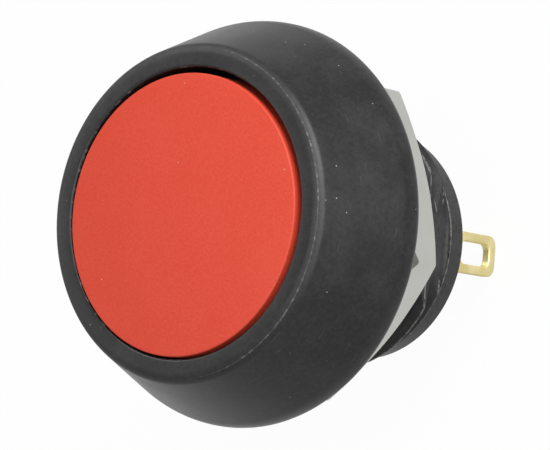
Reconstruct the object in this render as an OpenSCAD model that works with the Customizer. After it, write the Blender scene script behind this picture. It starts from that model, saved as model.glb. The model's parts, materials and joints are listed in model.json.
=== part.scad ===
// Sealed momentary push button of a quiz buzzer: a round bezel with a red cap,
// a threaded bush for a panel hole, a hex nut and two solder lugs.
// The origin is on the button's axis, on the rim that sits on the panel,
// +Z points out of the panel's front and +X towards the bush's flat.

/* [Bezel] */
// Diameter of the bezel at its widest
bezel_d = 18; // [17:0.5:24]
// Height of the front ring above the panel
bezel_h = 5.25; // [5.1:0.05:7]
// Width of the front ring
ring_w = 0.95; // [0.75:0.05:1.3]
// How far the flank leans in from the widest diameter to the ring
flank_w = 1.7; // [1:0.1:2]
// Height of the straight part of the rim
rim_h = 0.05; // [0.05:0.05:0.5]
// Rounding between the straight rim and the flank
shoulder_round = 2; // [0.5:0.25:4]
// Rounding of the edge next to the panel
back_round = 0.5; // [0.3:0.05:0.6]
// Rounding of the front ring's outer edge
edge_round = 0.45; // [0.2:0.05:0.6]
// Rounding of the front ring's inner edge
lip_round = 0.15; // [0.05:0.01:0.2]
// Width of the rim that sits on the panel
rim_land = 0.35; // [0.25:0.05:0.5]
// Depth of the well that the cap sinks into
well_depth = 3.35; // [3.2:0.05:3.6]

/* [Bush] */
// Outside diameter of the thread
thread_d = 11.8; // [11.6:0.1:13]
// Distance from one thread crest to the next
thread_pitch = 1; // [0.8:0.05:1.25]
// Depth of the thread
thread_depth = 0.6; // [0.4:0.05:0.65]
// Width of each thread crest
thread_crest = 0.2; // [0.1:0.05:0.3]
// Distance from the panel to the first crest
thread_start = 0.55; // [0.5:0.05:0.8]
// How far the last crest is turned down as a lead-in
thread_lead = 0.25; // [0.1:0.05:0.35]
// Length of the thread behind the panel
thread_len = 7.1; // [6.9:0.1:12]
// Length of the plain collar behind the thread
collar_len = 1.4; // [1.2:0.1:2]
// Chamfer on the collar's rear edge
collar_chamfer = 0.25; // [0.1:0.05:0.3]
// Step from the thread's root down to the collar
collar_step = 0.05; // [0.05:0.05:0.15]
// Depth of the flat on the thread, from the crests
flat_depth = 0.85; // [0.5:0.05:1]
// Wall between the bore and the thread's root
bush_wall = 0.9; // [0.7:0.05:1]
// Wall round the rear closure
closure_wall = 0.6; // [0.4:0.05:0.65]

/* [Nut and gasket] */
// Width of the nut across its flats
nut_af = 14; // [13.6:0.1:16]
// Thickness of the nut
nut_t = 3; // [2:0.1:3.2]
// Slope of the chamfers on the nut's corners
nut_chamfer = 33; // [20:1:35]
// Width of the chamfer at the middle of a flat
nut_bevel = 0.1; // [0.05:0.05:0.3]
// Turn of the nut on the bush
nut_turn = -11; // [-30:1:30]
// Thickness of the rubber gasket
gasket_t = 0.55; // [0.4:0.05:1]
// Width of the gasket's ring
gasket_w = 1.15; // [0.8:0.05:1.4]
// Depth of the gasket's recess in the bezel
gasket_recess = 0.15; // [0.1:0.05:0.3]

/* [Button] */
// Full travel of the button
travel = 1.5; // [1.2:0.1:1.7]
// Height of the cap's edge above the front ring
cap_proud = 0.05; // [0:0.05:0.4]
// Rise of the cap's crown above its edge
cap_crown = 0.25; // [0.1:0.05:0.6]
// Rounding of the cap's edge
cap_round = 0.2; // [0.1:0.05:0.5]
// Thickness of the cap below the front ring
cap_wall = 0.8; // [0.7:0.05:1]
// Thickness of the cap's skirt
skirt_wall = 0.8; // [0.6:0.05:1]
// Diameter of the boss under the cap
boss_d = 4.6; // [4:0.1:5]

/* [Plunger] */
// Diameter of the plunger in its guide
plunger_d = 3.8; // [3.4:0.1:4]
// Diameter of the spigot in the cap's boss
spigot_d = 2.4; // [2:0.1:2.8]
// How far the spigot enters the cap's plate
spigot_in = 0.35; // [0.2:0.05:0.5]
// Diameter of the lower stem that carries the contacts
stem_d = 2; // [1.8:0.1:2.2]
// Length of the stem below the bridge keeper
stem_stub = 0.3; // [0.2:0.05:0.4]
// Depth of the seal's groove in the plunger
seal_groove = 0.7; // [0.5:0.05:0.8]
// Distance of the stem seal below the well's floor
seal_drop = 0.75; // [0.6:0.05:0.9]
// Thickness of the plunger's retaining clip
clip_t = 0.4; // [0.3:0.05:0.5]
// Width of the retaining clip's ring
clip_w = 1.4; // [1:0.1:1.6]
// Depth of the retaining clip's groove
clip_groove = 0.5; // [0.3:0.05:0.6]
// Length of plunger below the retaining clip
clip_land = 0.5; // [0.4:0.05:0.7]

/* [Guide] */
// Depth of the return spring's pocket below the well
pocket_depth = 1.3; // [1.1:0.1:1.5]
// Thickness of the web under the pocket
web_t = 1; // [0.8:0.1:1.2]
// Length of the guide below the web
guide_drop = 1.2; // [1:0.1:1.4]

/* [Springs] */
// Mean diameter of the return spring
return_d = 6.9; // [6.5:0.1:7.2]
// Wire of the return spring
return_wire = 0.4; // [0.3:0.05:0.45]
// Turns of the return spring
return_turns = 4; // [3:0.5:4.5]
// Thickness of the washer under the return spring
washer_t = 0.15; // [0.1:0.05:0.25]
// Mean diameter of the contact spring
contact_spring_d = 2.9; // [2.7:0.05:3.1]
// Wire of the contact spring
contact_wire = 0.25; // [0.2:0.05:0.3]
// Turns of the contact spring
contact_turns = 2.5; // [2:0.5:3]

/* [Contacts] */
// Gap between the open contacts
contact_gap = 0.9; // [0.7:0.05:1]
// Diameter of a contact's head
contact_d = 1.1; // [0.9:0.05:1.2]
// Height of a contact's head
contact_h = 0.35; // [0.25:0.05:0.4]
// Diameter of a contact's rivet
rivet_d = 0.6; // [0.4:0.05:0.7]
// Height of a rivet's upset end
upset_h = 0.12; // [0.08:0.02:0.16]
// Thickness of the contact bridge
bridge_t = 0.45; // [0.3:0.05:0.5]
// Width of the bridge's two arms
bridge_w = 1.7; // [1.5:0.1:1.9]
// Metal beyond each contact at the bridge's ends
bridge_end = 0.2; // [0.1:0.05:0.3]
// Thickness of the clip that keeps the bridge on the stem
keeper_t = 0.3; // [0.2:0.05:0.35]
// Width of the keeper's ring
keeper_w = 0.9; // [0.7:0.05:0.95]
// Depth of the keeper's groove
keeper_groove = 0.3; // [0.2:0.05:0.35]

/* [Terminals] */
// Distance between the two solder lugs
lug_pitch = 6; // [5.8:0.1:6.4]
// Width of a lug
lug_w = 1.9; // [1.7:0.1:2.2]
// Thickness of a lug
lug_t = 0.4; // [0.3:0.05:0.5]
// Length of a lug behind the bush
lug_len = 5.3; // [4.5:0.1:9]
// Rounding of a lug's end corners
lug_round = 0.5; // [0.1:0.05:0.6]
// Width of the wire hole
eye_w = 1.05; // [0.8:0.05:1.2]
// Length of the wire hole
eye_len = 2.25; // [1.5:0.05:3]
// Rounding of the wire hole's corners
eye_round = 0.35; // [0.1:0.05:0.4]
// Metal between the wire hole and the lug's end
eye_end = 0.5; // [0.4:0.05:0.9]

/* [Rear closure] */
// Thickness of the terminal base
base_t = 1.1; // [1:0.05:1.3]
// Height of the base that enters the bore
base_spigot = 0.45; // [0.3:0.05:0.6]
// Thickness of the potting behind the base
potting_t = 0.45; // [0.35:0.05:0.6]

/* [Fits] */
// Radial gap between cap and well
cap_gap = 0.2; // [0.1:0.01:0.3]
// Gap left under the cap and the stem at full travel
stop_gap = 0.1; // [0.05:0.05:0.2]
// Radial running gap of the plunger in its guide
guide_gap = 0.04; // [0.02:0.01:0.08]
// Gap round a seal in its groove
seal_gap = 0.01; // [0.01:0.005:0.03]
// Room beside the return spring in its pocket
spring_room = 0.3; // [0.2:0.05:0.35]
// Radial gap between nut and thread crests
nut_gap = 0.05; // [0.02:0.01:0.1]
// Radial gap between gasket and thread crests
gasket_gap = 0.25; // [0.1:0.05:0.4]
// Gap between a pressed or clipped piece and its seat
seat_gap = 0.02; // [0.01:0.005:0.04]
// Radial gap of the bridge on its stem
bridge_gap = 0.12; // [0.08:0.02:0.2]
// Gap between the keeper and the terminals' tabs
tab_gap = 0.3; // [0.2:0.05:0.4]

/* [Hidden] */

$fn = 96;
arc_steps = 10;
coil_rings = 16;
coil_sides = 6;
// a cut runs this far past the face it opens
cut_past = 1;
// half the angle between the two flanks of a thread ridge
ridge_slope = 30;
nut_sides = 6;

// radii, from the bezel inwards
bezel_r = bezel_d / 2;
ring_r = bezel_r - flank_w;
well_r = ring_r - ring_w;
cap_r = well_r - cap_gap;
recess_r = bezel_r - back_round - rim_land;
thread_r = thread_d / 2;
gasket_in = thread_r + gasket_gap;
root_r = thread_r - thread_depth;
collar_r = root_r - collar_step;
bore_r = root_r - bush_wall;
closure_r = collar_r - closure_wall;
plunger_r = plunger_d / 2;
guide_r = plunger_r + guide_gap;
stem_r = stem_d / 2;
pocket_in = return_d / 2 - return_wire / 2 - spring_room;
pocket_out = return_d / 2 + return_wire / 2 + spring_room;
clip_r = plunger_r - clip_groove;
keeper_in = stem_r - keeper_groove;
keeper_r = keeper_in + keeper_w;
seal_in = plunger_r - seal_groove;
seal_r = (guide_r - seal_in) / 2 - seal_gap;

// heights, from the front ring back
z_floor = bezel_h - well_depth;
z_skirt = z_floor + travel + stop_gap;
z_ceiling = bezel_h - cap_wall;
z_pocket = z_floor - pocket_depth;
z_web = z_pocket - web_t;
z_guide = z_web - guide_drop;
z_clip = z_guide - clip_t;
z_shoulder = z_clip - clip_land;
z_seal = z_floor - seal_drop;
z_nut = gasket_recess - gasket_t;

// heights, from the rear end forwards
bush_len = thread_len + collar_len;
z_base = potting_t - bush_len;
z_base_top = z_base + base_t;
z_step = z_base_top - base_spigot;
z_tab = z_base_top + lug_t;
z_fixed = z_tab + contact_h;
z_bridge = z_fixed + contact_gap + contact_h;
z_bridge_top = z_bridge + bridge_t;
z_keeper = z_bridge - keeper_t;
z_stem = z_keeper - stem_stub;
z_stop = z_stem - travel - stop_gap;
z_lug = -bush_len - lug_len;

// the bridge's hub under its spring, and the places of lugs and contacts
bridge_hub = contact_spring_d / 2 + contact_wire / 2 + bridge_end;
lug_x = lug_pitch / 2;
tab_in = keeper_r + tab_gap;
contact_x = (tab_in + lug_x + lug_t / 2) / 2;

// points along an arc of a profile
function arc(c, r, from, to) = [
    for (i = [0:arc_steps])
        let (a = from + (to - from) * i / arc_steps)
        [c.x + r * cos(a), c.y + r * sin(a)]
];

// the arc that rounds a profile's corner between two faces, given by the angles of their normals
function eased(corner, r, from, to) =
    let (a = [cos(from), sin(from)], b = [cos(to), sin(to)])
    arc(corner - r * (a + b) / (1 + a * b), r, from, to);

// one ridge of the thread's profile, from rear to front
function ridge(z, crest_r) =
    let (half = thread_crest / 2)
    let (foot = half + (crest_r - root_r) * tan(ridge_slope))
    [[root_r, z - foot], [crest_r, z - half], [crest_r, z + half], [root_r, z + foot]];

// a coil spring's tube, from its lower end to its upper one
module coil(d, wire, turns, bottom, top) {
    rings = ceil(turns * coil_rings);
    climb = top - bottom - wire;
    points = [
        for (i = [0:rings], j = [0:coil_sides - 1])
            let (turn = 360 * turns * i / rings)
            let (side = 360 * j / coil_sides)
            let (r = d / 2 + wire / 2 * cos(side))
            let (z = bottom + wire / 2 + climb * i / rings + wire / 2 * sin(side))
            [r * cos(turn), r * sin(turn), z]
    ];
    function at(i, j) = i * coil_sides + j % coil_sides;
    walls = [
        for (i = [0:rings - 1], j = [0:coil_sides - 1])
            each [
                [at(i, j), at(i, j + 1), at(i + 1, j + 1)],
                [at(i, j), at(i + 1, j + 1), at(i + 1, j)]
            ]
    ];
    ends = [
        for (j = [1:coil_sides - 2])
            each [
                [at(0, 0), at(0, j + 1), at(0, j)],
                [at(rings, 0), at(rings, j), at(rings, j + 1)]
            ]
    ];
    polyhedron(points, concat(walls, ends));
}

// a flat rectangle with round corners, centred
module rounded(w, l, r) {
    square([w - 2 * r, l], center = true);
    square([w, l - 2 * r], center = true);
    for (x = [-1, 1], y = [-1, 1])
        translate([x * (w / 2 - r), y * (l / 2 - r)])
            circle(r);
}

// a snap-on clip with a mouth that slips over its groove
module snap_clip(inner, width, t) {
    linear_extrude(t)
        difference() {
            circle(inner + width);
            circle(inner + seat_gap);
            translate([-inner, 0])
                square([2 * inner, inner + width + cut_past]);
        }
}

// places a piece of one side's contact set, with the right side as drawn
module on_side(side) {
    if (side < 0)
        mirror([1, 0, 0])
            children();
    else
        children();
}

module housing() {
    shoulder = [bezel_r - shoulder_round, back_round + rim_h];
    to_ring = [ring_r, bezel_h] - shoulder;
    lean = atan2(to_ring.y, to_ring.x) - acos(shoulder_round / norm(to_ring));
    foot = thread_crest / 2 + thread_depth * tan(ridge_slope);
    ridges = 1 + floor((thread_len - thread_start - foot) / thread_pitch);
    first_z = -thread_start - (ridges - 1) * thread_pitch;
    thread = [
        for (k = [0:ridges - 1])
            each ridge(first_z + k * thread_pitch, k == 0 ? thread_r - thread_lead : thread_r)
    ];
    profile = concat(
        [[closure_r, -bush_len], [collar_r - collar_chamfer, -bush_len]],
        [[collar_r, collar_chamfer - bush_len], [collar_r, -thread_len], [root_r, -thread_len]],
        thread,
        [[root_r, gasket_recess], [recess_r, gasket_recess], [recess_r, 0]],
        eased([bezel_r, 0], back_round, -90, 0),
        arc(shoulder, shoulder_round, 0, lean),
        eased([ring_r, bezel_h], edge_round, lean, 90),
        eased([well_r, bezel_h], lip_round, 90, 180),
        [[well_r, z_floor], [pocket_out, z_floor], [pocket_out, z_pocket]],
        [[pocket_in, z_pocket], [pocket_in, z_floor], [guide_r, z_floor]],
        [[guide_r, z_guide], [pocket_in, z_guide], [pocket_in, z_web]],
        [[bore_r, z_web], [bore_r, z_step], [closure_r, z_step]]
    );
    color([0.13, 0.13, 0.135])
        difference() {
            rotate_extrude()
                polygon(profile);
            translate([thread_r - flat_depth, -thread_r, -thread_len])
                cube([flat_depth + cut_past, 2 * thread_r, thread_len]);
        }
}

module panel_gasket() {
    color([0.06, 0.06, 0.06])
        translate([0, 0, z_nut])
            linear_extrude(gasket_t)
                difference() {
                    circle(gasket_in + gasket_w);
                    circle(gasket_in);
                }
}

module hex_nut() {
    corner_r = nut_af / 2 / cos(180 / nut_sides);
    face_r = nut_af / 2 - nut_bevel;
    drop = (corner_r - face_r) * tan(nut_chamfer);
    color([0.75, 0.75, 0.73])
        translate([0, 0, z_nut - nut_t])
            difference() {
                intersection() {
                    rotate([0, 0, nut_turn])
                        cylinder(h = nut_t, r = corner_r, $fn = nut_sides);
                    rotate_extrude()
                        polygon([
                            [0, 0], [face_r, 0], [corner_r, drop], [corner_r, nut_t - drop],
                            [face_r, nut_t], [0, nut_t]
                        ]);
                }
                translate([0, 0, -cut_past])
                    cylinder(h = nut_t + 2 * cut_past, r = thread_r + nut_gap);
            }
}

module button_cap() {
    top = bezel_h + cap_proud + cap_crown;
    crown_r = (cap_r * cap_r + cap_crown * cap_crown) / (2 * cap_crown);
    edge_a = acos((cap_r - cap_round) / (crown_r - cap_round));
    edge_z = top - crown_r + (crown_r - cap_round) * sin(edge_a);
    shell = concat(
        [[0, z_ceiling], [cap_r - skirt_wall, z_ceiling], [cap_r - skirt_wall, z_skirt], [cap_r, z_skirt]],
        arc([cap_r - cap_round, edge_z], cap_round, 0, edge_a),
        arc([0, top - crown_r], crown_r, edge_a, 90)
    );
    color([0.85, 0.16, 0.11])
        rotate_extrude()
            difference() {
                union() {
                    polygon(shell);
                    translate([0, z_skirt])
                        square([boss_d / 2, z_ceiling - z_skirt]);
                }
                translate([0, z_skirt])
                    square([spigot_d / 2 + seat_gap, z_ceiling + spigot_in + seat_gap - z_skirt]);
            }
}

module plunger() {
    seal_half = seal_r + seal_gap;
    color([0.93, 0.92, 0.88])
        rotate_extrude()
            polygon([
                [0, z_stem], [stem_r, z_stem],
                [stem_r, z_keeper - seat_gap], [keeper_in, z_keeper - seat_gap],
                [keeper_in, z_bridge + seat_gap], [stem_r, z_bridge + seat_gap],
                [stem_r, z_shoulder], [plunger_r, z_shoulder],
                [plunger_r, z_clip - seat_gap], [clip_r, z_clip - seat_gap],
                [clip_r, z_guide + seat_gap], [plunger_r, z_guide + seat_gap],
                [plunger_r, z_seal - seal_half], [seal_in, z_seal - seal_half],
                [seal_in, z_seal + seal_half], [plunger_r, z_seal + seal_half],
                [plunger_r, z_skirt], [spigot_d / 2, z_skirt],
                [spigot_d / 2, z_ceiling + spigot_in], [0, z_ceiling + spigot_in]
            ]);
}

module stem_seal() {
    color([0.08, 0.08, 0.08])
        translate([0, 0, z_seal])
            rotate_extrude()
                translate([(guide_r + seal_in) / 2, 0])
                    circle(seal_r);
}

module retaining_clip() {
    color([0.55, 0.55, 0.57])
        translate([0, 0, z_clip])
            snap_clip(clip_r, clip_w, clip_t);
}

module spring_washer() {
    color([0.6, 0.6, 0.62])
        translate([0, 0, z_pocket])
            linear_extrude(washer_t)
                difference() {
                    circle(pocket_out - seat_gap);
                    circle(pocket_in + seat_gap);
                }
}

module return_spring() {
    color([0.66, 0.66, 0.68])
        coil(return_d, return_wire, return_turns, z_pocket + washer_t, z_ceiling);
}

module contact_spring() {
    color([0.66, 0.66, 0.68])
        coil(contact_spring_d, contact_wire, contact_turns, z_bridge_top, z_shoulder);
}

module contact_bridge() {
    arm = contact_x + contact_d / 2 + bridge_end;
    color([0.72, 0.45, 0.25])
        translate([0, 0, z_bridge])
            linear_extrude(bridge_t)
                difference() {
                    union() {
                        circle(bridge_hub);
                        rounded(2 * arm, bridge_w, bridge_end);
                    }
                    circle(stem_r + bridge_gap);
                    for (x = [-contact_x, contact_x])
                        translate([x, 0])
                            circle(rivet_d / 2 + seat_gap);
                }
}

module moving_contact(side) {
    upset_r = (rivet_d + contact_d) / 4;
    color([0.8, 0.8, 0.78])
        translate([side * contact_x, 0, z_bridge - contact_h]) {
            cylinder(h = contact_h, r = contact_d / 2);
            cylinder(h = contact_h + bridge_t, r = rivet_d / 2);
            translate([0, 0, contact_h + bridge_t])
                cylinder(h = upset_h, r = upset_r);
        }
}

module left_moving_contact() {
    moving_contact(-1);
}

module right_moving_contact() {
    moving_contact(1);
}

module bridge_keeper() {
    color([0.55, 0.55, 0.57])
        translate([0, 0, z_keeper])
            snap_clip(keeper_in, keeper_w, keeper_t);
}

// the two slots that the terminals pass through
module terminal_slots(bottom, top) {
    for (x = [-lug_x, lug_x])
        translate([x - lug_t / 2 - seat_gap, -lug_w / 2 - seat_gap, bottom])
            cube([lug_t + 2 * seat_gap, lug_w + 2 * seat_gap, top - bottom]);
}

module terminal_base() {
    color([0.2, 0.15, 0.11])
        difference() {
            union() {
                translate([0, 0, z_base])
                    cylinder(h = z_step - z_base, r = closure_r - seat_gap);
                translate([0, 0, z_base])
                    cylinder(h = base_t, r = bore_r - seat_gap);
            }
            translate([0, 0, z_stop])
                cylinder(h = z_base_top - z_stop + cut_past, r = keeper_r + tab_gap / 2);
            terminal_slots(z_base - cut_past, z_base_top + cut_past);
        }
}

module terminal(side) {
    blade_len = z_tab - z_lug;
    color([0.83, 0.76, 0.5])
        on_side(side) {
            translate([lug_x - lug_t / 2, 0, z_lug + blade_len / 2])
                rotate([90, 0, 90])
                    linear_extrude(lug_t)
                        difference() {
                            union() {
                                rounded(lug_w, blade_len, lug_round);
                                translate([-lug_w / 2, 0])
                                    square([lug_w, blade_len / 2]);
                            }
                            translate([0, eye_end + eye_len / 2 - blade_len / 2])
                                rounded(eye_w, eye_len, eye_round);
                        }
            translate([tab_in, -lug_w / 2, z_base_top])
                cube([lug_x + lug_t / 2 - tab_in, lug_w, lug_t]);
        }
}

module left_terminal() {
    terminal(-1);
}

module right_terminal() {
    terminal(1);
}

module fixed_contact(side) {
    color([0.8, 0.8, 0.78])
        translate([side * contact_x, 0, z_tab])
            cylinder(h = contact_h, r = contact_d / 2);
}

module left_fixed_contact() {
    fixed_contact(-1);
}

module right_fixed_contact() {
    fixed_contact(1);
}

module potting_seal() {
    color([0.09, 0.09, 0.095])
        difference() {
            translate([0, 0, -bush_len])
                cylinder(h = potting_t, r = closure_r - seat_gap);
            terminal_slots(-bush_len - cut_past, z_base + cut_past);
        }
}

housing();
panel_gasket();
hex_nut();
button_cap();
plunger();
stem_seal();
retaining_clip();
spring_washer();
return_spring();
contact_spring();
contact_bridge();
left_moving_contact();
right_moving_contact();
bridge_keeper();
terminal_base();
left_terminal();
right_terminal();
left_fixed_contact();
right_fixed_contact();
potting_seal();
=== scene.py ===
import json
import math

import bmesh
import bpy
from mathutils import Matrix, Vector


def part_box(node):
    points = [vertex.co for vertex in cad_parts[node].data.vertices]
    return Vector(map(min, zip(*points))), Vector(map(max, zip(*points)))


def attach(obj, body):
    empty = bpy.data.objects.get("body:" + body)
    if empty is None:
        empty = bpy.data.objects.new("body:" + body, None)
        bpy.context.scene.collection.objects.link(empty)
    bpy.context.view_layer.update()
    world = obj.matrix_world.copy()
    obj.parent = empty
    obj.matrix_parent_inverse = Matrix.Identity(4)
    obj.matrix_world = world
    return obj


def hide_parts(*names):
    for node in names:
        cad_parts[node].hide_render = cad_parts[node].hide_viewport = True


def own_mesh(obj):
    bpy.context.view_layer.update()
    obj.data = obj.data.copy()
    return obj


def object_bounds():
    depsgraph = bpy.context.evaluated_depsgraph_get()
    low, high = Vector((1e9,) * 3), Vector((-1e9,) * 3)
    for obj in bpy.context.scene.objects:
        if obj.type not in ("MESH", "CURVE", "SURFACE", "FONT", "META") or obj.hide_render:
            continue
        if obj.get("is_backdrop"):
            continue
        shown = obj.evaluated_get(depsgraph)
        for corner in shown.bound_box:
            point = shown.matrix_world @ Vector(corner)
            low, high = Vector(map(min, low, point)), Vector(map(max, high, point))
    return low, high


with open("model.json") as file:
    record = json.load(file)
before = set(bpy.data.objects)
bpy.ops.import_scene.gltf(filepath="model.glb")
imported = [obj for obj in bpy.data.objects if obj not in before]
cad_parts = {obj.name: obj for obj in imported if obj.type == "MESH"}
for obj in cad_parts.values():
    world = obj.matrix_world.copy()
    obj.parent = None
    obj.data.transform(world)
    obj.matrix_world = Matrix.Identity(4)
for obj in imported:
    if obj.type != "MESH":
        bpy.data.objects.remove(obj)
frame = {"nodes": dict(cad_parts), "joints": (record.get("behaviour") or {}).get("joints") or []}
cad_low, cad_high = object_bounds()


# Housing: bezel and threaded bush, one black plastic moulding with a satin skin. Its rim
# sits on the panel, its well takes the cap, and a flat along the thread keeps it from
# turning in the hole. Handling has rubbed the front ring's edges grey. On one side the
# outer edge's grey line is also a painted highlight, the grey on the thread's crests is
# partly a painted highlight, and the paler black on the flat and collar is partly painted light.
mm = 0.001
full_turn = 2 * math.pi
turned_steps = 192


def corners_mm(node):
    """A CAD node's lowest and highest corner, in millimetres."""
    low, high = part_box(node)
    return low / mm, high / mm


def arc(centre, radius, start, end, steps=8):
    """Points (radius, height) along an arc of a profile, with its angles in degrees."""
    points = []
    for i in range(steps + 1):
        angle = math.radians(start + (end - start) * i / steps)
        points.append((centre[0] + radius * math.cos(angle), centre[1] + radius * math.sin(angle)))
    return points


def eased(corner, radius, start, end):
    """Points that round a profile's corner between two faces, given by the angles of their normals."""
    a, b = (Vector((math.cos(math.radians(t)), math.sin(math.radians(t)))) for t in (start, end))
    return arc(Vector(corner) - (a + b) * radius / (1 + a.dot(b)), radius, start, end)


def soften(points, reach, steps=3):
    """An open outline with each inner corner rounded, as far as the stretches beside it allow."""
    rounded = [points[0]]
    for before, corner, after in zip(points, points[1:], points[2:]):
        before, corner, after = Vector(before), Vector(corner), Vector(after)
        start = corner.lerp(before, min(reach / max((before - corner).length, reach), 0.45))
        end = corner.lerp(after, min(reach / max((after - corner).length, reach), 0.45))
        for i in range(steps + 1):
            share = i / steps
            rounded.append(tuple(start.lerp(corner, share).lerp(corner.lerp(end, share), share)))
    return rounded + [points[-1]]


def spun(profile, angles):
    """Columns of points: a profile of (radius, height) pairs turned to each angle."""
    return [[(r * math.cos(a), r * math.sin(a), z) for r, z in profile] for a in angles]


def ease(share):
    """A smooth rise from 0 to 1."""
    share = min(max(share, 0), 1)
    return share * share * (3 - 2 * share)


def helix(angles, low, high, root, tooth, pitch, phase, run_in, run_out):
    """Columns of a right-hand thread between two heights. The tooth is a list of shares of the
    pitch with the step in radius there, and the thread fades into its root at both ends."""
    columns = []
    for angle in angles:
        turn = (angle - angles[0]) / full_turn + phase
        column = []
        for k in range(-2, math.ceil((high - low) / pitch) + 1):
            for along, step in tooth:
                z = low + (k + along + turn) * pitch
                r = root + step * ease((z - low) / run_out) * ease((high - z) / run_in)
                column.append((r * math.cos(angle), r * math.sin(angle), min(max(z, low), high)))
        columns.append(column)
    return columns


def skin(shape, columns, climb=0):
    """Joins columns of points round the axis with faces. The last column meets the first one
    as many rows higher as a helix climbs in a turn."""
    grid = [[shape.verts.new(point) for point in column] for column in columns]
    top = len(grid[0]) - 1
    for i, here in enumerate(grid):
        there = grid[(i + 1) % len(grid)]
        lift = climb if there is grid[0] else 0
        for row in range(top):
            there_low, there_high = there[min(row + lift, top)], there[min(row + lift + 1, top)]
            shape.faces.new(dict.fromkeys([here[row], there_low, there_high, here[row + 1]]))


def shaped(name, shape, sharp=40):
    """Makes a piece from a shape drawn in millimetres, smooth up to an angle in degrees."""
    bmesh.ops.remove_doubles(shape, verts=shape.verts, dist=0.0005)
    bmesh.ops.dissolve_degenerate(shape, edges=shape.edges, dist=0.0005)
    bmesh.ops.recalc_face_normals(shape, faces=shape.faces)
    mesh = bpy.data.meshes.new(name)
    shape.to_mesh(mesh)
    shape.free()
    mesh.transform(Matrix.Scale(mm, 4))
    return smoothed(bpy.data.objects.new(name, mesh), sharp)


def smoothed(piece, sharp):
    """Puts a piece in the scene, with broad faces kept flat next to narrow rounded edges."""
    piece.data.shade_smooth()
    piece.data.set_sharp_from_angle(angle=math.radians(sharp))
    piece.modifiers.new("flat_faces", "WEIGHTED_NORMAL").keep_sharp = True
    bpy.context.collection.objects.link(piece)
    return piece


class Signal:
    """A socket of a finish's nodes. Arithmetic on it adds the Math nodes that work it out."""

    def __init__(self, socket):
        self.socket = socket

    def node(self, kind, settings, sockets, out=0):
        """Adds a node by its type: its settings, then the values or links of its sockets."""
        tree = self.socket.id_data
        made = tree.nodes.new(kind)
        for name, value in settings.items():
            setattr(made, name, value)
        for key, value in sockets.items():
            if isinstance(value, Signal):
                tree.links.new(value.socket, made.inputs[key])
            else:
                made.inputs[key].default_value = value
        return Signal(made.outputs[out])

    def math(self, operation, *values):
        """One Math node on these values."""
        return self.node("ShaderNodeMath", {"operation": operation}, dict(enumerate(values)))

    def __add__(self, other):
        return self.math("ADD", self, other)

    def __radd__(self, other):
        return self.math("ADD", other, self)

    def __sub__(self, other):
        return self.math("SUBTRACT", self, other)

    def __rsub__(self, other):
        return self.math("SUBTRACT", other, self)

    def __mul__(self, other):
        return self.math("MULTIPLY", self, other)

    def __rmul__(self, other):
        return self.math("MULTIPLY", other, self)

    def __pow__(self, other):
        return self.math("POWER", self, other)

    def rise(self, start, end):
        """0 up to start and 1 from end on, or the other way where start is the larger."""
        sockets = {"Value": self, "From Min": start, "From Max": end}
        return self.node("ShaderNodeMapRange", {"interpolation_type": "SMOOTHSTEP"}, sockets)

    def most(self, other):
        """The larger of two masks."""
        return self.math("MAXIMUM", self, other)

    def stretched(self, *factors):
        """This place with its axes scaled, for marks that run along one of them."""
        return self.node("ShaderNodeVectorMath", {"operation": "MULTIPLY"}, {0: self, 1: factors})

    def noise(self, per_mm, detail=2.0):
        """Cloudy noise at this place, with so many clouds to a millimetre."""
        sockets = {"Vector": self, "Scale": per_mm, "Detail": detail}
        return self.node("ShaderNodeTexNoise", {}, sockets)

    def specks(self, per_mm, size):
        """Scattered round specks at this place, up to a size in millimetres."""
        distance = self.node("ShaderNodeTexVoronoi", {}, {"Vector": self, "Scale": per_mm})
        return distance.rise(size * per_mm, size * per_mm / 2)

    def colour(self, none, full):
        """The colour where this mask is 0, and the one where it is 1."""
        return self.node("ShaderNodeMix", {"data_type": "RGBA"}, {0: self, 6: none, 7: full}, out=2)

    def bump(self, height):
        """A normal from this signal as a height map, with its full height in millimetres."""
        return self.node("ShaderNodeBump", {}, {"Height": self, "Distance": height * mm})


def finish(name, constants):
    """A new material: its shader, with its constant sockets set, and the place on the piece in mm."""
    material = bpy.data.materials.new(name)
    material.use_nodes = True
    shader = material.node_tree.nodes["Principled BSDF"]
    for socket, value in constants.items():
        shader.inputs[socket].default_value = value
    metres = Signal(material.node_tree.nodes.new("ShaderNodeTexCoord").outputs["Object"])
    place = metres.node("ShaderNodeVectorMath", {"operation": "SCALE"}, {0: metres, "Scale": 1 / mm})
    return shader, place


def feed(shader, signals):
    """Links what changes over the surface to the shader's sockets and gives the material back."""
    for socket, signal in signals.items():
        shader.id_data.links.new(signal.socket, shader.inputs[socket])
    return bpy.data.materials[[m.node_tree for m in bpy.data.materials].index(shader.id_data)]


def polar(place):
    """Radius, angle and height of a place on a turned piece."""
    x, y, z = (place.node("ShaderNodeSeparateXYZ", {}, {0: place}, out=i) for i in range(3))
    return (x * x + y * y) ** 0.5, x.math("ARCTAN2", y, x), z


housing_low, housing_high = corners_mm("housing")
bezel_r = housing_high.y
flank_w = 1.7
ring_z = 5.25
ring_w = 0.95
ring_r = bezel_r - flank_w
well_r = ring_r - ring_w
edge_round = 0.58
lip_round = 0.15
shoulder_round = 2.0
back_round = 0.5
rim_h = 0.05
rim_land = 0.35
recess_r = bezel_r - back_round - rim_land
recess_z = 0.15
well_depth = 3.35
well_z = ring_z - well_depth
spring_pocket = (2.95, 3.95)
pocket_depth = 1.3
pocket_z = well_z - pocket_depth
web_t = 1.0
web_z = pocket_z - web_t
guide_r = 1.94
guide_length = 1.2
guide_z = web_z - guide_length
thread_r = 5.9
thread_depth = 0.7
thread_pitch = 1.0
thread_crest = 0.12
thread_round = 0.08
thread_slope = 28
thread_phase = 0.98
thread_run_in = 0.3
thread_run_out = 0.9
thread_z = -7.35
flat_depth = 0.85
flat_x = thread_r - flat_depth
root_r = thread_r - thread_depth
collar_step = 0.05
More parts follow.
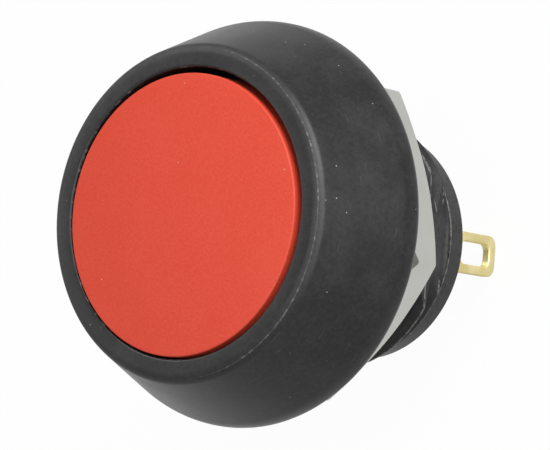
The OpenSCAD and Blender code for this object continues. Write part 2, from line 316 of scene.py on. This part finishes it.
collar_r = root_r + collar_step
collar_chamfer = 0.25
collar_round = 0.04
bush_wall = 0.8
bore_r = root_r - bush_wall
closure_wall = 0.6
closure_r = collar_r - closure_wall
closure_z = -7.4
bush_z = housing_low.z

shoulder = Vector((bezel_r - shoulder_round, back_round + rim_h))
to_ring = Vector((ring_r, ring_z)) - shoulder
lean = math.degrees(math.atan2(to_ring.y, to_ring.x) - math.acos(shoulder_round / to_ring.length))
ring_edge = eased((ring_r, ring_z), edge_round, lean, 90)
ridge_r, ridge_z = ring_edge[len(ring_edge) // 2]
moulding = (
    [(root_r, 0), (root_r, recess_z), (recess_r, recess_z), (recess_r, 0)]
    + eased((bezel_r, 0), back_round, -90, 0)
    + arc(shoulder, shoulder_round, 0, lean)
    + ring_edge
    + eased((well_r, ring_z), lip_round, 90, 180)
    + [(well_r, well_z), (spring_pocket[1], well_z), (spring_pocket[1], pocket_z)]
    + [(spring_pocket[0], pocket_z), (spring_pocket[0], well_z), (guide_r, well_z)]
    + [(guide_r, guide_z), (spring_pocket[0], guide_z), (spring_pocket[0], web_z)]
    + [(bore_r, web_z), (bore_r, closure_z), (closure_r, closure_z), (closure_r, bush_z)]
    + [(collar_r - collar_chamfer, bush_z), (collar_r, bush_z + collar_chamfer)]
    + eased((collar_r, thread_z), collar_round, 0, 90)
    + [(root_r, thread_z)]
)


def tooth_of(depth, pitch, crest, round_off):
    """One tooth of a thread as shares of the pitch with a step in radius, from root to root."""
    flank = abs(depth) * math.tan(math.radians(thread_slope))
    foot = (pitch - crest) / 2 - flank
    outline = [(0, 0), (foot, 0), (foot + flank, depth)]
    outline += [(pitch - x, y) for x, y in reversed(outline)]
    return [(x / pitch, y) for x, y in soften(outline, round_off)[:-1]]


round_steps = [full_turn * i / turned_steps for i in range(turned_steps)]
thread_tooth = tooth_of(thread_depth, thread_pitch, thread_crest, thread_round)
thread = helix(
    round_steps, thread_z, 0, root_r, thread_tooth, thread_pitch,
    thread_phase, thread_run_in, thread_run_out,
)
shape = bmesh.new()
skin(shape, spun(moulding, round_steps))
skin(shape, thread, climb=len(thread_tooth))
housing = shaped("housing_shell", shape)


def cut_bar(piece, outline, reach, sharp):
    """Cuts a bar along y away from a piece, given by its outline of (x, z) in millimetres."""
    shape = bmesh.new()
    ends = [[shape.verts.new((x * mm, y * mm, z * mm)) for x, z in outline] for y in (-reach, reach)]
    for i in range(len(outline)):
        shape.faces.new([ends[0][i - 1], ends[0][i], ends[1][i], ends[1][i - 1]])
    shape.faces.new(ends[0])
    shape.faces.new(reversed(ends[1]))
    bmesh.ops.recalc_face_normals(shape, faces=shape.faces)
    mesh = bpy.data.meshes.new("cutter")
    shape.to_mesh(mesh)
    shape.free()
    cutter = bpy.data.objects.new("cutter", mesh)
    bpy.context.collection.objects.link(cutter)
    piece.modifiers.clear()
    cut = piece.modifiers.new("cut", "BOOLEAN")
    cut.object = cutter
    ready = piece.evaluated_get(bpy.context.evaluated_depsgraph_get())
    after = bpy.data.objects.new(piece.name + "_cut", bpy.data.meshes.new_from_object(ready))
    name = piece.name
    bpy.data.objects.remove(cutter)
    bpy.data.objects.remove(piece)
    after.name = name
    return smoothed(after, sharp)


past_collar = 0.02
past_thread = 0.08
flat_top = collar_r + past_collar
flat_end = thread_z - past_thread
flat_ramp = 0.45
flat_round = 0.15
flat_sharp = 30
flat_start = -1
flat_path = [(flat_x, flat_start), (flat_x, flat_end + flat_ramp)]
flat_path += [(flat_top, flat_end), (bezel_r, flat_end)]
flat_bar = [(flat_x, 0)] + soften(flat_path, flat_round) + [(bezel_r, 0)]
housing = cut_bar(housing, flat_bar, bezel_r, flat_sharp)

black = (0.007, 0.007, 0.0075, 1)
black_faded = (0.022, 0.0215, 0.021, 1)
black_scuffed_and_painted_light = (0.032, 0.032, 0.033, 1)
rubbed_grey_and_highlight = (0.24, 0.235, 0.22, 1)
dust_white = (0.62, 0.61, 0.58, 1)
lip_r = well_r + 0.03
lip_z = ring_z - 0.06
shader, place = finish("satin_black_moulding", {"Specular IOR Level": 0.38})
radius, angle, height = polar(place)
clouds = place.noise(0.45, 4.0)
grain = place.noise(14.0, 3.0)
patches = place.noise(4.5, 4.0)
handled = place.noise(0.9, 4.0)
round_way = {0: angle * 5.0, 1: height * 26.0 + clouds * 9.0, 2: radius * 26.0}
streaks = place.node("ShaderNodeCombineXYZ", {}, round_way).noise(1.0, 1.0)
outer_edge = ((radius - ridge_r) ** 2.0 + (height - ridge_z) ** 2.0) ** 0.5
inner_edge = ((radius - lip_r) ** 2.0 + (height - lip_z) ** 2.0) ** 0.5
crest_way = (height - thread_z) * (1 / thread_pitch) - angle * (1 / full_turn) - thread_phase
off_crest = crest_way.math("ABSOLUTE", crest_way.math("FRACT", crest_way) - 0.5) * thread_pitch
crest = off_crest.rise(0.08, 0.03) * radius.rise(root_r + 0.10, root_r + 0.16) * height.rise(-0.2, -0.5)
collar_edge = ((radius - collar_r) ** 2.0 + (height - thread_z) ** 2.0) ** 0.5
# The outer edge's grey line is partly rubbed wear and partly a painted highlight, kept to the side where
# the light catches the edge.
painted_highlight_side = angle.math("COSINE", angle).rise(0.0, 0.5)
outer_worn_and_highlight = outer_edge.rise(0.045, 0.01) * (0.16 + patches.rise(0.48, 0.72) * 0.84) * painted_highlight_side
inner_worn = inner_edge.rise(0.05, 0.01) * patches.rise(0.56, 0.72)
# The grey on the thread's crests is partly rubbed wear and partly a painted highlight.
crest_worn_and_highlight = crest * patches.rise(0.35, 0.60)
collar_worn = collar_edge.rise(0.07, 0.02) * patches.rise(0.30, 0.60)
scratches = streaks.rise(0.70, 0.77) * handled.rise(0.52, 0.62) * radius.rise(ring_r - 0.2, ring_r + 0.2)
worn_and_highlights = (outer_worn_and_highlight * 0.8).most(inner_worn * 0.7)
worn_and_highlights = worn_and_highlights.most(crest_worn_and_highlight.most(collar_worn) * 0.6).most(scratches * 0.32)
dust = place.specks(0.6, 0.045) + place.specks(1.4, 0.028)
thread_root = radius.rise(root_r + 0.05, root_r - 0.05)
bush = height.rise(-0.2, -1.0) * thread_root.most(height.rise(thread_z + 0.1, thread_z))
colour = (clouds * 0.4 + patches * 0.35 + grain * 0.25).rise(0.38, 0.64).colour(black, black_faded)
# The paler black on the flat and collar is partly scuffing and partly a painted reflection that
# brightens the flat.
colour = (bush * patches.rise(0.2, 0.6)).colour(colour, black_scuffed_and_painted_light)
# Rubbed grey, which on the outer edge and on the thread's crests also stands for painted highlights.
colour = worn_and_highlights.colour(colour, rubbed_grey_and_highlight)
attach(housing, "housing")
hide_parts("housing")
housing.data.materials.clear()
housing.data.materials.append(feed(shader, {
    "Base Color": dust.colour(colour, dust_white),
    "Roughness": 0.24 + handled * 0.12 + outer_edge.rise(0.5, 0.0) * 0.22 + worn_and_highlights * 0.2,
    "Normal": grain.bump(0.0025),
}))


# Return spring and its washer: a coil of bright spring wire in the housing's pocket pushes
# the cap out, and stands on a thin steel washer. Its end turns are closed.
def stroke(joint):
    """How far a joint goes, in millimetres."""
    return next(j for j in frame["joints"] if j["name"] == joint)["range_m"][1] / mm


def coil(shape, mean_r, wire, low, high, turns, dead_turns, sides=10, turn_steps=40):
    """A spring's wire as a tube, with closed turns at both ends."""
    steps = round(turns * turn_steps)
    dead_pitch = wire * 1.05
    live_pitch = (high - low - wire - 2 * dead_turns * dead_pitch) / (turns - 2 * dead_turns)
    rings = []
    for i in range(steps + 1):
        turn = turns * i / steps
        end_turn = min(turn, turns - turn)
        climb = dead_pitch * min(end_turn, dead_turns) + live_pitch * max(end_turn - dead_turns, 0)
        middle = low + wire / 2 + climb if turn <= turns / 2 else high - wire / 2 - climb
        ring = []
        for j in range(sides):
            side = full_turn * j / sides
            r = mean_r + wire / 2 * math.cos(side)
            ring.append(shape.verts.new((
                r * math.cos(turn * full_turn),
                r * math.sin(turn * full_turn),
                middle + wire / 2 * math.sin(side),
            )))
        rings.append(ring)
    for here, there in zip(rings, rings[1:]):
        for j in range(sides):
            shape.faces.new([here[j], here[j - 1], there[j - 1], there[j]])
    shape.faces.new(rings[0])
    shape.faces.new(reversed(rings[-1]))


steel = (0.52, 0.52, 0.54, 1)
steel_dark = (0.36, 0.36, 0.38, 1)
shader, place = finish("drawn_spring_steel", {"Metallic": 1.0})
drawn = place.noise(5.0, 4.0)
spring_steel = feed(shader, {
    "Base Color": drawn.colour(steel_dark, steel),
    "Roughness": 0.22 + drawn * 0.2,
    "Normal": place.noise(30.0).bump(0.003),
})
_, washer_high = corners_mm("spring_washer")
cap_t = 0.8
cap_ceiling = ring_z - cap_t
return_r = sum(spring_pocket) / 2
return_wire = 0.4
shape = bmesh.new()
coil(shape, return_r, return_wire, washer_high.z, cap_ceiling, turns=4.5, dead_turns=0.75)
return_spring = shaped("return_spring_coil", shape)
return_spring.data.materials.append(spring_steel)
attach(return_spring, "housing")
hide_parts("return_spring")
press = stroke("button_press")
spring_length = cap_ceiling - washer_high.z
(spring_length - press) / spring_length
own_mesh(return_spring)
frame["nodes"]["spring_washer"].data.materials[0] = spring_steel


# Button cap: a red plastic moulding with a fine matt skin, slightly crowned. Its boss is
# pressed on the plunger and its skirt runs in the housing's well.
cap_low, cap_high = corners_mm("button_cap")
cap_growth = 0.03
cap_r = cap_high.y + cap_growth
crown = 0.25
crown_r = (cap_r * cap_r + crown * crown) / (2 * crown)
cap_round = 0.07
skirt_wall = 0.8
boss_r = 2.3
spigot_r = 1.22
spigot_bite = 0.37
spigot_z = cap_ceiling + spigot_bite
edge_angle = math.acos((cap_r - cap_round) / (crown_r - cap_round))
edge_z = cap_high.z - crown_r + (crown_r - cap_round) * math.sin(edge_angle)
edge_degrees = math.degrees(edge_angle)
spigot_hole = [(0, spigot_z), (spigot_r, spigot_z), (spigot_r, cap_low.z)]
boss = spigot_hole + [(boss_r, cap_low.z), (boss_r, cap_ceiling)]
cap_profile = (
    boss
    + [(cap_r - skirt_wall, cap_ceiling), (cap_r - skirt_wall, cap_low.z), (cap_r, cap_low.z)]
    + arc((cap_r - cap_round, edge_z), cap_round, 0, edge_degrees, 10)
    + arc((0, cap_high.z - crown_r), crown_r, edge_degrees, 90, 24)
)
cap_play = Vector((-0.07, -0.09, 0))
cap_columns = spun(cap_profile, round_steps)
for column in cap_columns:
    column[len(boss):] = [tuple(Vector(point) + cap_play) for point in column[len(boss):]]
shape = bmesh.new()
skin(shape, cap_columns)
cap = shaped("red_cap", shape)
red = (0.760, 0.064, 0.030, 1)
red_pale = (0.790, 0.081, 0.041, 1)
red_speck = (0.84, 0.36, 0.28, 1)
red_pit = (0.20, 0.02, 0.015, 1)
shader, place = finish("matt_red_moulding", {"Specular IOR Level": 0.5})
clouds = place.noise(0.35, 3.0)
grain = place.noise(9.0, 3.0)
colour = (clouds * 0.3 + grain * 0.7).rise(0.35, 0.65).colour(red, red_pale)
colour = place.specks(0.7, 0.045).colour(colour, red_speck)
offset = place.node("ShaderNodeVectorMath", {"operation": "ADD"}, {0: place, 1: (3.1, 7.7, 0.4)})
cap.data.materials.append(feed(shader, {
    "Base Color": offset.specks(0.32, 0.05).colour(colour, red_pit),
    "Roughness": 0.52 + clouds * 0.10,
    "Normal": grain.bump(0.009),
}))
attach(cap, "button")
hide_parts("button_cap")


# Plunger, stem seal and retaining clip: a turned acetal plunger slides in the housing's guide,
# with a rubber ring in its groove and a snapped-on steel clip that stops it from coming out.
acetal = (0.80, 0.78, 0.72, 1)
acetal_warm = (0.74, 0.70, 0.61, 1)
shader, place = finish("natural_acetal", {"Roughness": 0.38})
tool_marks = place.node("ShaderNodeTexWave", {"bands_direction": "Z"}, {"Vector": place, "Scale": 6.0})
frame["nodes"]["plunger"].data.materials[0] = feed(shader, {
    "Base Color": place.noise(0.8).colour(acetal, acetal_warm),
    "Normal": tool_marks.bump(0.004),
})
rubber_black = (0.018, 0.018, 0.018, 1)
rubber_bloom = (0.040, 0.040, 0.042, 1)
shader, place = finish("soft_black_rubber", {"Specular IOR Level": 0.3})
bloom = place.noise(1.5, 4.0)
rubber = feed(shader, {
    "Base Color": bloom.rise(0.45, 0.75).colour(rubber_black, rubber_bloom),
    "Roughness": 0.65 + bloom * 0.2,
    "Normal": place.noise(18.0).bump(0.01),
})
frame["nodes"]["stem_seal"].data.materials[0] = rubber
frame["nodes"]["retaining_clip"].data.materials[0] = spring_steel


# Contact bridge: a stamped copper bar with two silver rivets that joins the fixed contacts.
# A small spring pushes it down the plunger's stem, against a snapped-on keeper.
copper = (0.62, 0.33, 0.18, 1)
copper_dull = (0.42, 0.22, 0.13, 1)
shader, place = finish("rolled_copper", {"Metallic": 1.0})
rolled = place.stretched(0.4, 9.0, 3.0).noise(1.5, 3.0)
frame["nodes"]["contact_bridge"].data.materials[0] = feed(shader, {
    "Base Color": place.noise(0.9, 3.0).colour(copper, copper_dull),
    "Roughness": 0.28 + rolled * 0.2,
    "Normal": rolled.bump(0.004),
})
silver = (0.78, 0.77, 0.73, 1)
silver_tarnish = (0.55, 0.51, 0.44, 1)
shader, place = finish("contact_silver", {"Metallic": 1.0})
tarnish = place.noise(2.2, 4.0)
contact_silver = feed(shader, {
    "Base Color": tarnish.rise(0.4, 0.8).colour(silver, silver_tarnish),
    "Roughness": 0.30 + tarnish * 0.2,
    "Normal": place.noise(14.0).bump(0.004),
})
for node in ("left_moving_contact", "right_moving_contact", "left_fixed_contact", "right_fixed_contact"):
    frame["nodes"][node].data.materials[0] = contact_silver
frame["nodes"]["bridge_keeper"].data.materials[0] = spring_steel
_, bridge_high = corners_mm("contact_bridge")
shoulder_low = -2.5
contact_length = shoulder_low - bridge_high.z
contact_give = press - stroke("bridge_close")
contact_r = 1.45
contact_wire = 0.25
shape = bmesh.new()
coil(shape, contact_r, contact_wire, bridge_high.z, shoulder_low, turns=3.0, dead_turns=0.6)
contact_spring = shaped("contact_spring_coil", shape)
contact_spring.data.materials.append(spring_steel)
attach(contact_spring, "button")
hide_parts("contact_spring")
(contact_length - contact_give) / contact_length
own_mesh(contact_spring)


# Terminal base: a brown phenolic disc, moulded with slots, that is pushed into the rear of the
# bush and carries the two terminals.
phenolic = (0.060, 0.034, 0.020, 1)
phenolic_fleck = (0.11, 0.065, 0.038, 1)
shader, place = finish("brown_phenolic", {"Roughness": 0.42})
flecks = place.noise(4.0, 5.0)
frame["nodes"]["terminal_base"].data.materials[0] = feed(shader, {
    "Base Color": flecks.rise(0.5, 0.8).colour(phenolic, phenolic_fleck),
    "Normal": flecks.bump(0.008),
})


# Terminals: two solder lugs stamped from brass strip and flashed with pale gold, each with a
# wire hole at its end and a tab bent in under its fixed contact.
def plate(loops, thickness, edge):
    """A flat stamping from closed outlines in millimetres, holes among them, its edges eased."""
    curve = bpy.data.curves.new("stamping", "CURVE")
    curve.dimensions = "2D"
    curve.fill_mode = "BOTH"
    curve.extrude = thickness / 2 - edge
    curve.bevel_depth = edge
    curve.bevel_resolution = 2
    curve.offset = -edge
    for loop in loops:
        line = curve.splines.new("POLY")
        line.points.add(len(loop) - 1)
        line.use_cyclic_u = True
        for point, (x, y) in zip(line.points, loop):
            point.co = (x, y, 0, 1)
    stamping = bpy.data.objects.new("stamping", curve)
    bpy.context.collection.objects.link(stamping)
    ready = stamping.evaluated_get(bpy.context.evaluated_depsgraph_get())
    mesh = bpy.data.meshes.new_from_object(ready)
    bpy.data.objects.remove(stamping)
    return mesh


def rectangle(left, bottom, right, top, rounds, steps=6):
    """A closed outline with its own rounding at each corner, from the lower left one round."""
    points = []
    corners = [(left, bottom), (right, bottom), (right, top), (left, top)]
    for i, ((x, y), r) in enumerate(zip(corners, rounds)):
        centre = (x + (r if x == left else -r), y + (r if y == bottom else -r))
        points += arc(centre, r, 180 + 90 * i, 270 + 90 * i, steps) if r else [(x, y)]
    return points


gold = (0.75, 0.645, 0.305, 1)
gold_pale = (0.81, 0.715, 0.40, 1)
gold_worn = (0.66, 0.56, 0.31, 1)
shader, place = finish("gold_flashed_brass", {"Metallic": 1.0})
clouds = place.noise(0.9, 3.0)
rolled = place.stretched(8.0, 8.0, 0.5).noise(1.2, 3.0)
colour = clouds.rise(0.35, 0.65).colour(gold, gold_pale)
gold_flash = feed(shader, {
    "Base Color": rolled.rise(0.62, 0.8).colour(colour, gold_worn),
    "Roughness": 0.47 + clouds * 0.14,
    "Normal": rolled.bump(0.004),
})
lug_t = 0.4
lug_round = 0.5
lug_sharp = 50
eye_w = 1.05
eye_length = 2.25
eye_end = 0.5
eye_round = 0.35
lug_edge = 0.07
lugs = []
for side, node in ((-1, "left_terminal"), (1, "right_terminal")):
    low, high = corners_mm(node)
    outer_x = max(abs(low.x), abs(high.x))
    inner_x = min(abs(low.x), abs(high.x))
    blade_x = side * (outer_x - lug_t / 2)
    tab_z = high.z - lug_t / 2
    eye_z = low.z + eye_end
    strip = rectangle(low.y, low.z, high.y, high.z, (lug_round, lug_round, 0, 0))
    eye = rectangle(-eye_w / 2, eye_z, eye_w / 2, eye_z + eye_length, (eye_round,) * 4)
    blade = plate([strip, eye], lug_t, lug_edge)
    blade.transform(Matrix(((0, 0, side, blade_x), (1, 0, 0, 0), (0, 1, 0, 0), (0, 0, 0, 1))))
    tab = plate([rectangle(inner_x, low.y, outer_x - lug_t, high.y, (0, 0, 0, 0))], lug_t, lug_edge)
    tab.transform(Matrix(((side, 0, 0, 0), (0, 1, 0, 0), (0, 0, 1, tab_z), (0, 0, 0, 1))))
    shape = bmesh.new()
    shape.from_mesh(blade)
    shape.from_mesh(tab)
    lug = shaped(node + "_stamping", shape, lug_sharp)
    lug.data.materials.append(gold_flash)
    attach(lug, "housing")
    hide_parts(node)
    lugs.append(lug)


# Potting: black resin poured over the base to seal the rear. It has set slightly hollow and
# has crept up the wall of the bush and up the lugs.
resin_low, resin_high = corners_mm("potting_seal")
resin_gap = 0.005
resin_r = closure_r - resin_gap
resin_sink = 0.16
resin_creep = 0.28
_, lug_high = corners_mm("right_terminal")
lug_middle = lug_high.x - lug_t / 2
resin_rings = 40
resin_columns = []
for angle in round_steps[::2]:
    column = [(0, 0, resin_high.z), (resin_r * math.cos(angle), resin_r * math.sin(angle), resin_high.z)]
    for i in range(resin_rings, -1, -1):
        r = resin_r * i / resin_rings
        x, y = r * math.cos(angle), r * math.sin(angle)
        off_lug = math.hypot(max(abs(abs(x) - lug_middle) - lug_t / 2, 0), max(abs(y) - lug_high.y, 0))
        off_wall = min(resin_r - r, off_lug)
        column.append((x, y, resin_low.z + resin_sink * (1 - math.exp(-off_wall / resin_creep))))
    resin_columns.append(column)
shape = bmesh.new()
skin(shape, resin_columns)
potting = shaped("potting_resin", shape)
resin_black = (0.014, 0.014, 0.015, 1)
resin_grey = (0.026, 0.026, 0.028, 1)
shader, place = finish("cured_black_resin", {"Coat Weight": 0.2})
clouds = place.noise(0.8, 3.0)
bubbles = place.specks(1.1, 0.12)
potting.data.materials.append(feed(shader, {
    "Base Color": clouds.colour(resin_black, resin_grey),
    "Roughness": 0.22 + clouds * 0.15,
    "Normal": (clouds - bubbles * 0.4).bump(0.05),
}))
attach(potting, "housing")
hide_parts("potting_seal")


# Panel gasket: a flat ring punched from black rubber. It lies in the recess behind the bezel's
# rim and is squeezed against the panel by the nut.
gasket_low, gasket_high = corners_mm("panel_gasket")
gasket_r = gasket_high.y
gasket_gap = 0.25
gasket_in = thread_r + gasket_gap
gasket_round = 0.08
gasket_middle = (gasket_in, (gasket_low.z + gasket_high.z) / 2)
gasket_outline = soften(
    [
        gasket_middle,
        (gasket_in, gasket_low.z),
        (gasket_r, gasket_low.z),
        (gasket_r, gasket_high.z),
        (gasket_in, gasket_high.z),
        gasket_middle,
    ],
    gasket_round,
)
shape = bmesh.new()
skin(shape, spun(gasket_outline, round_steps))
gasket = shaped("rubber_gasket", shape)
gasket.data.materials.append(rubber)
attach(gasket, "housing")
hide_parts("panel_gasket")


# Hex nut: turned from brass bar and plated with satin nickel. Its corners are chamfered on both
# faces, and the front chamfers are painted dark as a painted reflection of the bezel. Its bore
# carries the thread's grooves, and its hexagon stands a little off the bore's axis.
nut_low, nut_high = corners_mm("hex_nut")
nut_flat = 7.0
nut_sides = 6
nut_turn = math.radians(-11)
nut_bevel = 0.1
nut_face = nut_flat - nut_bevel
nut_rear_chamfer = math.tan(math.radians(33))
nut_front_chamfer = math.tan(math.radians(38))
nut_edge = 0.12
nut_corner_round = 0.18
nut_gap = 0.03
nut_bore = thread_r + nut_gap
nut_groove = 0.45
nut_groove_end = 0.15
nut_groove_round = 0.06
nut_run_out = 0.2
nut_mouth = 0.4
nut_sharp = 50
nut_offset = Vector((0.03, 0.15, 0))
bore_side = nut_bore + nut_mouth + nut_edge
side_steps = 16
half_corner = math.pi / nut_sides
flat_length = 2 * (nut_flat - nut_corner_round) * math.tan(half_corner)
corner_r = (nut_flat - nut_corner_round) / math.cos(half_corner)
corner_steps = 4
nut_outline = []
for corner in range(nut_sides):
    towards = nut_turn + corner * full_turn / nut_sides
    middle = (corner_r * math.cos(towards), corner_r * math.sin(towards))
    corner_start = math.degrees(towards - half_corner)
    corner_end = math.degrees(towards + half_corner)
    nut_outline += arc(middle, nut_corner_round, corner_start, corner_end, corner_steps)
    start = Vector(nut_outline[-1])
    along = Vector((-math.sin(towards + half_corner), math.cos(towards + half_corner)))
    nut_outline += [tuple(start + along * flat_length * i / side_steps) for i in range(1, side_steps)]
nut_columns = []
nut_angles = []
for x, y in nut_outline:
    angle = math.atan2(y, x)
    if nut_angles and angle < nut_angles[-1]:
        angle += full_turn
    reach = math.hypot(x, y)
    rear_drop = (reach - nut_face) * nut_rear_chamfer
    front_drop = (reach - nut_face) * nut_front_chamfer
    profile = soften(
        [
            (nut_bore, nut_low.z + nut_mouth),
            (nut_bore + nut_mouth, nut_low.z),
            (nut_face, nut_low.z),
            (reach, nut_low.z + rear_drop),
            (reach, nut_high.z - front_drop),
            (nut_face, nut_high.z),
            (nut_bore + nut_mouth, nut_high.z),
            (nut_bore, nut_high.z - nut_mouth),
        ],
        nut_edge,
    )
    nut_angles.append(angle)
    column = []
    for r, z in profile:
        point = Vector((r * math.cos(angle), r * math.sin(angle), z))
        column.append(tuple(point if r <= bore_side else point + nut_offset))
    nut_columns.append(column)
nut_tooth = tooth_of(nut_groove, thread_pitch, nut_groove_end, nut_groove_round)
bore_low = nut_low.z + nut_mouth
bore_high = nut_high.z - nut_mouth
bore_thread = helix(
    nut_angles, bore_low, bore_high, nut_bore, nut_tooth, thread_pitch,
    phase=0, run_in=nut_run_out, run_out=nut_run_out,
)
shape = bmesh.new()
skin(shape, nut_columns)
skin(shape, bore_thread, climb=len(nut_tooth))
nut = shaped("nickel_nut", shape, nut_sharp)
nickel = (0.75, 0.75, 0.71, 1)
nickel_dull = (0.67, 0.67, 0.63, 1)
nickel_painted_reflection = (0.22, 0.22, 0.20, 1)
nickel_bright = (0.85, 0.85, 0.82, 1)
shader, place = finish("satin_nickel", {"Metallic": 1.0})
clouds = place.noise(0.7, 4.0)
turned_marks = place.stretched(1.0, 1.0, 12.0).noise(1.5, 3.0)
radius, _, height = polar(place)
# The front chamfers carry a painted dark reflection of the bezel above them, and are a little smoother.
off_chamfer = height - nut_high.z + (radius - nut_face) * nut_front_chamfer
chamfer = off_chamfer.rise(-0.10, -0.03) * radius.rise(nut_flat + 0.05, nut_flat + 0.15)
colour = chamfer.colour(clouds.colour(nickel_dull, nickel), nickel_painted_reflection)
nut.data.materials.append(feed(shader, {
    "Base Color": place.specks(0.8, 0.05).colour(colour, nickel_bright),
    "Roughness": 0.19 + clouds * 0.08 - chamfer * 0.10,
    "Normal": (turned_marks + clouds).bump(0.006),
}))
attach(nut, "nut")
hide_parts("hex_nut")


# Studio: a white table that the lugs stand on, a white surround, two soft lights, reflector cards that
# show in the black moulding and the lugs, and a long lens at the angle of the picture.
scene = bpy.context.scene
scene.view_settings.view_transform = "Standard"
table_w = 1.2
shape = bmesh.new()
bmesh.ops.create_grid(shape, x_segments=1, y_segments=1, size=table_w / 2)
mesh = bpy.data.meshes.new("table")
shape.to_mesh(mesh)
shape.free()
table = bpy.data.objects.new("table", mesh)
table.location.z = cad_low.z
bpy.context.collection.objects.link(table)
table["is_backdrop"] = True


def seen(signal):
    """1 where the lens sees a backdrop, and 1 where a surface mirrors it or lets it through."""
    lens, mirrored, through = (signal.node("ShaderNodeLightPath", {}, {}, out=ray) for ray in (
        "Is Camera Ray", "Is Glossy Ray", "Is Transmission Ray"))
    return lens, signal.math("MINIMUM", mirrored + through, 1.0)


white = (1, 1, 1, 1)
mirrored_level = 0.69
mirrored_white = (mirrored_level, mirrored_level, mirrored_level, 1)
mirrored_shade = (0.48, 0.48, 0.48, 1)
mirrored_bright = (0.84, 0.84, 0.84, 1)
table_white = (0.93, 0.93, 0.93, 1)
table_pale = (0.95, 0.95, 0.95, 1)
table_glow = 0.96
shade_start = 25.0
shade_end = 55.0
bright_start = -60.0
bright_end = -110.0
shader, place = finish("white_table", {"Roughness": 0.9, "Specular IOR Level": 0.0})
material = feed(shader, {"Base Color": place.noise(0.2, 2.0).colour(table_white, table_pale)})
lens, mirrored = seen(place)
across = place.node("ShaderNodeSeparateXYZ", {}, {0: place}, out=1)
mirror_image = across.rise(shade_start, shade_end).colour(mirrored_white, mirrored_shade)
mirror_image = across.rise(bright_start, bright_end).colour(mirror_image, mirrored_bright)
glow = place.node("ShaderNodeEmission", {}, {"Color": mirrored.colour(white, mirror_image)})
both = place.node(
    "ShaderNodeMixShader", {}, {0: (lens + mirrored) * table_glow, 1: Signal(shader.outputs[0]), 2: glow}
)
output = material.node_tree.nodes["Material Output"]
material.node_tree.links.new(both.socket, output.inputs["Surface"])
table.data.materials.append(material)

fill_level = 0.22
scene.world = bpy.data.worlds.new("white_surround")
scene.world.use_nodes = True
background = scene.world.node_tree.nodes["Background"]
background.inputs["Color"].default_value = white
lens, mirrored = seen(Signal(background.outputs[0]))
level = fill_level + lens * (1 - fill_level) + mirrored * (mirrored_level - fill_level)
scene.world.node_tree.links.new(level.socket, background.inputs["Strength"])

lamp_distance = 0.30
carded = bpy.data.collections.new("lit_by_the_cards")
for piece in [housing] + lugs:
    carded.objects.link(piece)
for name, towards, watts, size, is_card in (
    ("front_light", (0.30, -0.05, 0.95), 0.36, 0.20, False),
    ("key_light", (0.62, 0.64, 0.40), 0.86, 0.20, False),
    ("far_card", (-0.50, 0.75, 0.45), 0.34, 0.20, True),
    ("left_card", (-0.80, 0.10, 0.55), 0.10, 0.20, True),
    ("right_card", (0.85, 0.50, 0.20), 0.80, 0.34, True),
    ("low_right_card", (0.93, -0.10, 0.34), 0.34, 0.20, True),
):
    lamp = bpy.data.lights.new(name, "AREA")
    lamp.size = size
    lamp.energy = watts
    light = bpy.data.objects.new(name, lamp)
    direction = Vector(towards).normalized()
    if is_card:
        light.visible_diffuse = False
        light.light_linking.receiver_collection = carded
    light.location = direction * lamp_distance
    light.rotation_mode = "QUATERNION"
    light.rotation_quaternion = direction.to_track_quat("Z", "Y")
    bpy.context.collection.objects.link(light)

image_w = 550
image_h = 450
pixels_per_mm = 22.694
camera_distance = 190 * mm
camera_tilt = math.radians(38.25)
camera_turn = math.radians(-7)
camera_roll = math.radians(-80.21)
aim = Vector((0, 0, 0.4)) * mm
aim_pixel = (252.10, 224.27)
back = Vector((
    math.sin(camera_tilt) * math.cos(camera_turn),
    math.sin(camera_tilt) * math.sin(camera_turn),
    math.cos(camera_tilt),
))
level_up = (Vector((0, 0, 1)) - back * back.z).normalized()
level_right = level_up.cross(back)
right = level_right * math.cos(camera_roll) + level_up * math.sin(camera_roll)
up = level_up * math.cos(camera_roll) - level_right * math.sin(camera_roll)
camera = bpy.data.objects.new("camera", bpy.data.cameras.new("camera"))
camera.data.sensor_width = 36
camera.data.lens = camera.data.sensor_width * pixels_per_mm / mm * camera_distance / image_w
camera.data.clip_start = camera_distance / 100
camera.data.clip_end = 10
off_right = (aim_pixel[0] - image_w / 2) / pixels_per_mm * mm
off_up = (image_h / 2 - aim_pixel[1]) / pixels_per_mm * mm
camera.location = aim - right * off_right - up * off_up + back * camera_distance
camera.rotation_mode = "QUATERNION"
camera.rotation_quaternion = Matrix((right, up, back)).transposed().to_quaternion()
bpy.context.collection.objects.link(camera)
scene.camera = camera

low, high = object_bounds()
